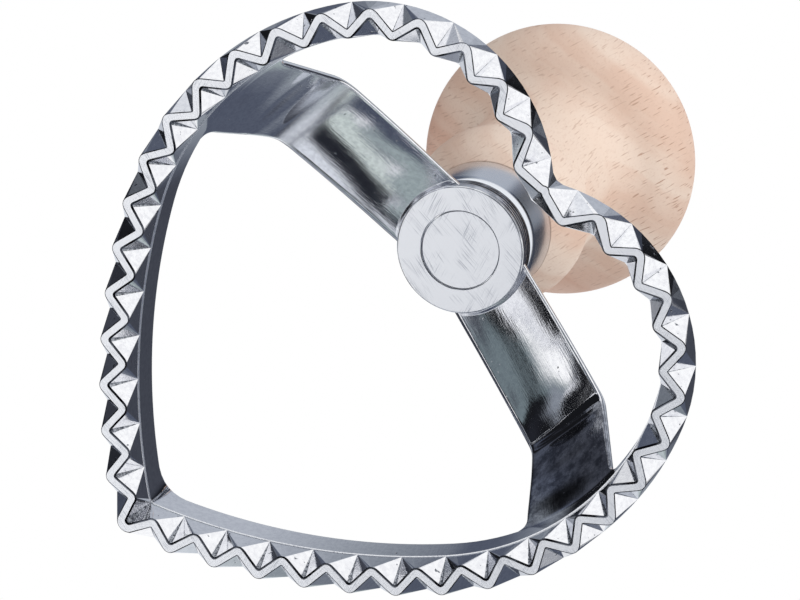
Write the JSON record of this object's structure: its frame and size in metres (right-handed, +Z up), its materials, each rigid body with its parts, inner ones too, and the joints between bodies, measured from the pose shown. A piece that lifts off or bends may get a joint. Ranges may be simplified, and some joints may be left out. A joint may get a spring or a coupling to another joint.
{
  "type": "ravioli stamp",
  "caption": "Heart-shaped ravioli stamp with a fluted cast cutting edge, an arched bridge and a turned wooden knob held on by a ferrule and a pin.",
  "frame": {"origin": "on the plane of the cutting edge, in the middle of the heart's length and width", "axes": "+Z up along the knob's axis, +Y from the heart's point to its cleft, X along the bridge"},
  "size_m": [0.0654, 0.0682, 0.0857],
  "materials": {
    "cutter_casting": "polished casting, ground flat on the cutting edge and the boss",
    "pin_steel": "head ground flush with the boss",
    "ferrule_plate": "bright plated drawn steel",
    "knob_wood": "turned beech, plain sanded"
  },
  "bodies": {
    "root": {"heart_cutter": "cutter_casting", "handle_pin": "pin_steel", "ferrule": "ferrule_plate", "wooden_knob": "knob_wood"}
  },
  "joints": []
}
